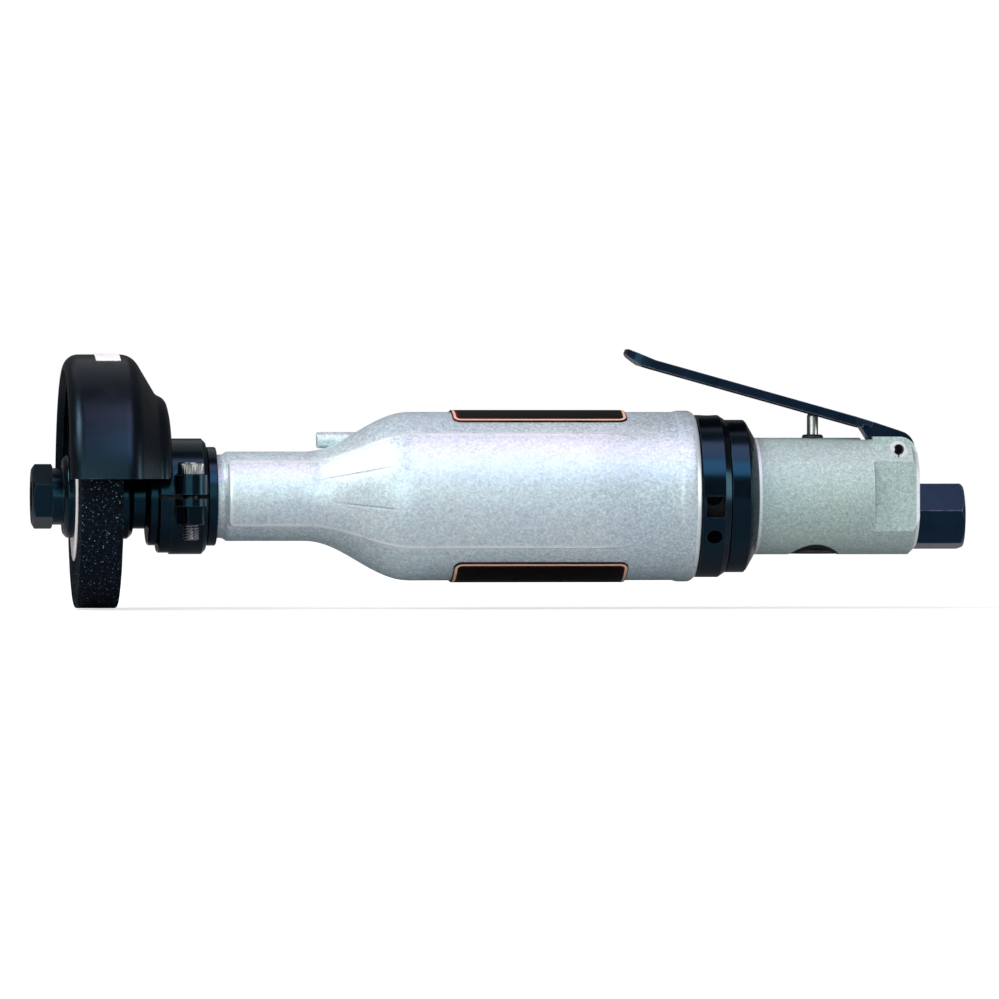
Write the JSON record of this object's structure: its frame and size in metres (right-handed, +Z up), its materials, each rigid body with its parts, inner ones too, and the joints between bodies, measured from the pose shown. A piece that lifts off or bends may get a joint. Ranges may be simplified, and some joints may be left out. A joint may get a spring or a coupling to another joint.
{
  "type": "pneumatic straight grinder",
  "caption": "Air-powered straight grinder with a long neck, abrasive wheel under a half guard, a hinged throttle lever and a hexagonal threaded air inlet.",
  "frame": {"origin": "middle of the mouth of the air inlet thread", "axes": "+X out of the air inlet, away from the wheel; +Z up, towards the throttle lever; the clamp screw of the guard is on the -Y side"},
  "size_m": [0.2808, 0.0844, 0.0777],
  "materials": {
    "cast_silver": "cast, fine bead-blasted silver",
    "plate_dark": "dark enamel, copper edge",
    "black_oxide": "black oxide, satin",
    "rubber_black": "matte rubber",
    "bearing_steel": "ground and polished",
    "machined_steel": "turned and ground",
    "abrasive": "coarse bonded grain",
    "label_paper": "plain paper",
    "guard_black": "black satin paint",
    "zinc": "bright zinc",
    "phenolic": "woven laminate",
    "cast_green": "cast, grey-green blasted",
    "brass": "turned brass",
    "blued_steel": "blue-black finish"
  },
  "bodies": {
    "case": {"housing": "cast_silver", "stop_ring": "black_oxide", "top_nameplate": "plate_dark", "bottom_nameplate": "plate_dark", "front_cap": "black_oxide", "shaft_seal": "rubber_black", "front_bearing_outer": "bearing_steel", "rear_bearing_outer": "bearing_steel", "front_end_plate": "machined_steel", "cylinder_liner": "machined_steel", "rear_end_plate": "machined_steel", "dowel": "machined_steel", "rotor_front_bearing_outer": "bearing_steel", "rotor_rear_bearing_outer": "bearing_steel", "rear_ring": "black_oxide", "throttle_body": "cast_green", "stem_bush": "rubber_black", "valve_seat": "brass", "valve_plug": "blued_steel", "plug_seal": "rubber_black", "valve_spring": "machined_steel", "lever_pin": "zinc", "inlet_bushing": "blued_steel", "inlet_screen": "brass"},
    "spindle": {"spindle": "black_oxide", "drive_coupling": "machined_steel", "inner_flange": "black_oxide", "grinding_wheel": "abrasive", "wheel_label": "label_paper", "outer_flange": "black_oxide", "wheel_nut": "black_oxide", "front_bearing_inner": "bearing_steel", "rear_bearing_inner": "bearing_steel", "rotor_front_bearing_inner": "bearing_steel", "rotor_rear_bearing_inner": "bearing_steel", "rotor": "machined_steel", "vane_1": "phenolic", "vane_2": "phenolic", "vane_3": "phenolic", "vane_4": "phenolic", "vane_5": "phenolic"},
    "front_bearing_balls": {"front_bearing_balls": "bearing_steel"},
    "rear_bearing_balls": {"rear_bearing_balls": "bearing_steel"},
    "rotor_front_bearing_balls": {"rotor_front_bearing_balls": "bearing_steel"},
    "rotor_rear_bearing_balls": {"rotor_rear_bearing_balls": "bearing_steel"},
    "lever": {"throttle_lever": "blued_steel"},
    "valve": {"valve_stem": "machined_steel", "valve_disc": "rubber_black"},
    "exhaust": {"exhaust_ring": "black_oxide"},
    "guard": {"wheel_guard": "guard_black", "guard_collar": "black_oxide", "clamp_screw": "zinc", "clamp_nut": "black_oxide", "guard_sticker": "label_paper"}
  },
  "joints": [
    {"name": "spindle_spin", "type": "hinge", "parent": "case", "child": "spindle", "pos_m": [0, 0, 0.0061], "axis": [1, 0, 0], "continuous": true},
    {"name": "front_bearing_roll", "type": "hinge", "parent": "case", "child": "front_bearing_balls", "pos_m": [0, 0, 0.0061], "axis": [1, 0, 0], "continuous": true},
    {"name": "rear_bearing_roll", "type": "hinge", "parent": "case", "child": "rear_bearing_balls", "pos_m": [0, 0, 0.0061], "axis": [1, 0, 0], "continuous": true},
    {"name": "rotor_front_bearing_roll", "type": "hinge", "parent": "case", "child": "rotor_front_bearing_balls", "pos_m": [0, 0, 0.0061], "axis": [1, 0, 0], "continuous": true},
    {"name": "rotor_rear_bearing_roll", "type": "hinge", "parent": "case", "child": "rotor_rear_bearing_balls", "pos_m": [0, 0, 0.0061], "axis": [1, 0, 0], "continuous": true},
    {"name": "lever_press", "type": "hinge", "parent": "case", "child": "lever", "pos_m": [-0.0205, 0, 0.0201], "axis": [0, -1, 0], "range_deg": [0, 8.5], "stiffness_Nm_per_rad": 1.2, "springref_deg": -11.46},
    {"name": "valve_push", "type": "slide", "parent": "case", "child": "valve", "axis": [0, 0, -1], "range_m": [0, 0.0041], "deforming": ["valve_spring"]},
    {"name": "exhaust_turn", "type": "hinge", "parent": "case", "child": "exhaust", "pos_m": [0, 0, 0.0061], "axis": [1, 0, 0], "continuous": true},
    {"name": "guard_turn", "type": "hinge", "parent": "case", "child": "guard", "pos_m": [0, 0, 0.0061], "axis": [1, 0, 0], "continuous": true}
  ],
  "couplings": [
    {"joint": "front_bearing_roll", "follows": "spindle_spin", "ratio": 0.4069},
    {"joint": "rear_bearing_roll", "follows": "spindle_spin", "ratio": 0.4069},
    {"joint": "rotor_front_bearing_roll", "follows": "spindle_spin", "ratio": 0.3778},
    {"joint": "rotor_rear_bearing_roll", "follows": "spindle_spin", "ratio": 0.3778},
    {"joint": "valve_push", "follows": "lever_press", "m_per_rad": 0.0272}
  ]
}
